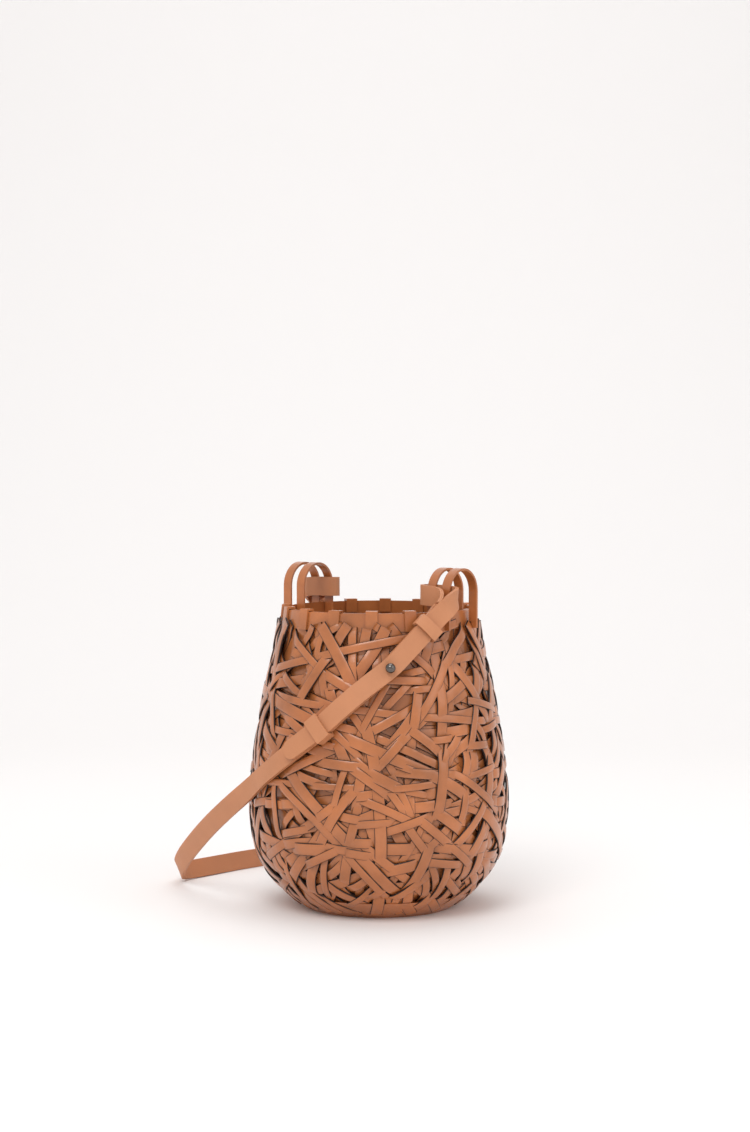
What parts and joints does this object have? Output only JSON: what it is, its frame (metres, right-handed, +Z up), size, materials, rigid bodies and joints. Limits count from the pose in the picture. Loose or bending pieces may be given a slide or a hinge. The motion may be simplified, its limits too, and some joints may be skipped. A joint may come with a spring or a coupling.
{
  "type": "bucket bag",
  "caption": "Small bucket bag woven from flat tan leather strips, with arched loops at the rim and a stitched shoulder strap.",
  "frame": {"origin": "centre of the flat base, on the floor", "axes": "+Z up out of the mouth, -Y the front with the stud, +X to the right seen from the front"},
  "size_m": [0.2676, 0.293, 0.2645],
  "materials": {
    "strip_leather": "glossy",
    "strap_leather": "satin",
    "gunmetal": "polished"
  },
  "bodies": {
    "bag": {"base_weave": "strip_leather", "wall_weave": "strip_leather", "upright_strips": "strip_leather", "right_slanting_strips": "strip_leather", "left_slanting_strips": "strip_leather", "rim_band": "strip_leather", "rim_wrap_strips": "strip_leather", "left_loop_inner_strip": "strip_leather", "left_loop_outer_strip": "strip_leather", "right_loop_inner_strip": "strip_leather", "right_loop_outer_strip": "strip_leather", "strap_face": "strap_leather", "strap_backing": "strap_leather", "fixed_keeper": "strap_leather", "stud_head": "gunmetal", "stud_screw": "gunmetal"},
    "keeper": {"sliding_keeper": "strap_leather"}
  },
  "joints": [
    {"name": "keeper_slide", "type": "slide", "parent": "bag", "child": "keeper", "axis": [-0.6577, -0.3041, -0.6892], "range_m": [0, 0.022]}
  ]
}
